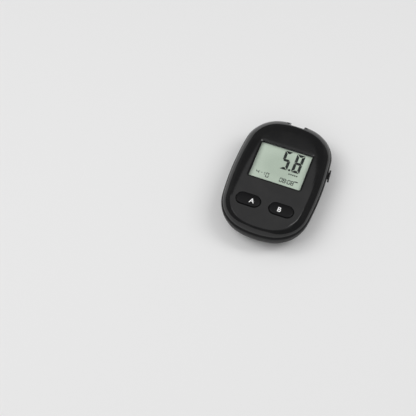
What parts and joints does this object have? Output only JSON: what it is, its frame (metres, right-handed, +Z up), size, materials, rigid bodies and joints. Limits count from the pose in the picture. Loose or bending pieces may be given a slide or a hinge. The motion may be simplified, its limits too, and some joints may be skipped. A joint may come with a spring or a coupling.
{
  "type": "blood glucose meter",
  "caption": "Oval hand-held blood glucose meter with a recessed display, pressing keys, a test strip port with a sliding ejector, and a slide-off battery door.",
  "frame": {"origin": "middle of the meter's outline, on the plane that its back rests on", "axes": "+X to the ejector side, +Y along the meter to the strip port, +Z up out of the display"},
  "size_m": [0.0574, 0.0828, 0.0226],
  "materials": {
    "front_shell": "glossy black moulded plastic",
    "rear_shell": "satin black moulded plastic",
    "key_cap": "satin black plastic with a printed letter",
    "clear_lens": "clear polished window",
    "display_cell": "grey-green liquid crystal cell",
    "reflector_film": "pale diffuse film",
    "white_plastic": "white moulded plastic",
    "foam": "dark grey foam",
    "banded_rubber": "grey banded conductive rubber",
    "circuit_board": "green coated board",
    "chip_package": "black moulded package",
    "ceramic": "tan ceramic",
    "nickel": "nickel-plated sheet",
    "spring_wire": "bright spring wire",
    "gold_contact": "gold-plated sheet",
    "cell_sleeve": "satin printed sleeve over a metal can",
    "port_plastic": "ivory moulded plastic",
    "screw": "dark zinc-plated steel"
  },
  "bodies": {
    "housing": {"front_cover": "front_shell", "rear_cover": "rear_shell", "display_window": "clear_lens", "display_gasket": "foam", "display_glass": "display_cell", "display_reflector": "reflector_film", "display_frame": "white_plastic", "upper_connector": "banded_rubber", "lower_connector": "banded_rubber", "left_switch": "nickel", "right_switch": "nickel", "left_cell": "cell_sleeve", "right_cell": "cell_sleeve", "positive_contact": "nickel", "negative_contact": "nickel", "series_contact": "nickel", "main_board": "circuit_board", "controller_chip": "chip_package", "memory_chip": "chip_package", "crystal": "nickel", "radio_module": "nickel", "buzzer": "chip_package", "capacitor_1": "ceramic", "capacitor_2": "ceramic", "capacitor_3": "ceramic", "capacitor_4": "ceramic", "capacitor_5": "ceramic", "strip_port": "port_plastic", "strip_contact_1": "gold_contact", "strip_contact_2": "gold_contact", "strip_contact_3": "gold_contact", "strip_contact_4": "gold_contact", "strip_contact_5": "gold_contact", "return_spring": "spring_wire", "housing_screw_1": "screw", "housing_screw_2": "screw", "housing_screw_3": "screw", "housing_screw_4": "screw"},
    "left_key": {"left_key": "key_cap", "left_switch_plunger": "chip_package"},
    "right_key": {"right_key": "key_cap", "right_switch_plunger": "chip_package"},
    "ejector": {"ejector_thumb": "rear_shell", "ejector_arm": "white_plastic"},
    "battery_door": {"battery_door": "rear_shell"}
  },
  "joints": [
    {"name": "left_key_press", "type": "slide", "parent": "housing", "child": "left_key", "axis": [0, 0, -1], "range_m": [0, 0.0005], "stiffness_N_per_m": 400},
    {"name": "right_key_press", "type": "slide", "parent": "housing", "child": "right_key", "axis": [0, 0, -1], "range_m": [0, 0.0005], "stiffness_N_per_m": 400},
    {"name": "ejector_slide", "type": "slide", "parent": "housing", "child": "ejector", "axis": [0, 1, 0], "range_m": [0, 0.0045], "stiffness_N_per_m": 150, "deforming": ["return_spring"]},
    {"name": "battery_door_slide", "type": "slide", "parent": "housing", "child": "battery_door", "axis": [0, -1, 0], "range_m": [0, 0.062]}
  ]
}
